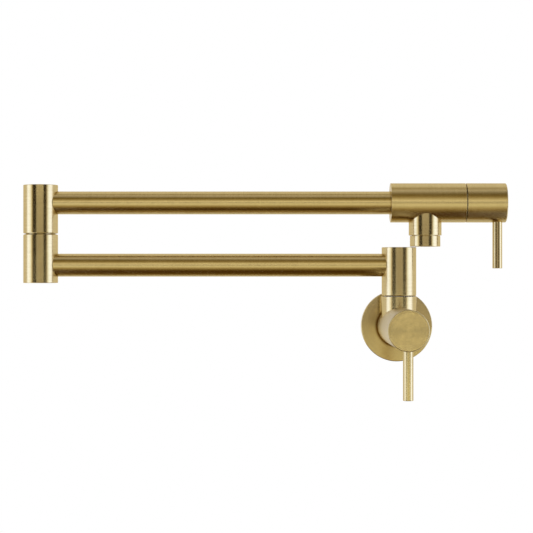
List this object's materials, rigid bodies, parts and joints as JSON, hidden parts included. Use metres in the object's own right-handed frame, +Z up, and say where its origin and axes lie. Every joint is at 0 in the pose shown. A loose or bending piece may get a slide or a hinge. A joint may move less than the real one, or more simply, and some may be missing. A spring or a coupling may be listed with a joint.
{
  "type": "wall mounted pot filler",
  "caption": "Folding wall mounted tap for filling pots: two swivelling tube arms, a quarter-turn valve at the wall and another at the spout, in satin brass.",
  "frame": {"origin": "on the wall plane, on the axis of the inlet and of the wall valve", "axes": "+Z up, +Y into the wall, +X to the right along the wall as the user sees it; the folded arms run along X"},
  "size_m": [0.4005, 0.146, 0.1736],
  "materials": {
    "satin_brass": "satin",
    "raw_brass": "matte",
    "stainless_steel": "satin",
    "ceramic": "satin",
    "rubber": "matte",
    "foam": "matte",
    "nylon": "satin",
    "clear_plastic": "satin"
  },
  "bodies": {
    "wall_valve": {"escutcheon": "satin_brass", "escutcheon_gasket": "foam", "inlet_nipple": "raw_brass", "nipple_o_ring": "rubber", "wall_valve_body": "satin_brass", "wall_seat_seal": "rubber", "wall_fixed_disc": "ceramic", "wall_cartridge_body": "raw_brass", "wall_body_o_ring": "rubber", "wall_retaining_nut": "raw_brass", "shoulder_spindle": "raw_brass", "shoulder_o_ring_lower": "rubber", "shoulder_o_ring_upper": "rubber", "shoulder_slip_washer": "nylon", "shoulder_clip": "stainless_steel"},
    "wall_handle": {"wall_handle_hub": "satin_brass", "wall_handle_lever": "satin_brass", "wall_handle_set_screw": "stainless_steel", "wall_stem": "raw_brass", "wall_stem_o_ring": "rubber", "wall_stem_clip": "stainless_steel", "wall_moving_disc": "ceramic"},
    "lower_arm": {"shoulder_sleeve": "satin_brass", "shoulder_cap": "satin_brass", "lower_arm_tube": "satin_brass", "elbow_lower_sleeve": "satin_brass", "elbow_bottom_cap": "satin_brass", "elbow_spindle": "raw_brass", "elbow_o_ring_lower": "rubber", "elbow_o_ring_upper": "rubber", "elbow_spacer_ring": "satin_brass", "elbow_clip": "stainless_steel"},
    "upper_arm": {"elbow_upper_sleeve": "satin_brass", "elbow_top_cap": "satin_brass", "upper_arm_tube": "satin_brass", "spout_valve_body": "satin_brass", "spout_seat_seal": "rubber", "spout_fixed_disc": "ceramic", "spout_cartridge_body": "raw_brass", "spout_body_o_ring": "rubber", "spout_retaining_nut": "raw_brass", "aerator_housing": "satin_brass", "aerator_insert": "clear_plastic", "aerator_screen": "stainless_steel", "aerator_washer": "rubber"},
    "spout_handle": {"spout_handle_hub": "satin_brass", "spout_handle_lever": "satin_brass", "spout_handle_set_screw": "stainless_steel", "spout_stem": "raw_brass", "spout_stem_o_ring": "rubber", "spout_stem_clip": "stainless_steel", "spout_moving_disc": "ceramic"}
  },
  "joints": [
    {"name": "shoulder_swivel", "type": "hinge", "parent": "wall_valve", "child": "lower_arm", "pos_m": [0, -0.03, 0.04], "axis": [0, 0, 1], "range_deg": [0, 180]},
    {"name": "elbow_swivel", "type": "hinge", "parent": "lower_arm", "child": "upper_arm", "pos_m": [-0.2976, -0.03, 0.0771], "axis": [0, 0, -1], "continuous": true},
    {"name": "wall_handle_turn", "type": "hinge", "parent": "wall_valve", "child": "wall_handle", "pos_m": [0, -0.1, 0], "axis": [0, -1, 0], "range_deg": [0, 90]},
    {"name": "spout_handle_turn", "type": "hinge", "parent": "upper_arm", "child": "spout_handle", "pos_m": [0.06, -0.03, 0.10295], "axis": [-1, 0, 0], "range_deg": [0, 90]}
  ]
}
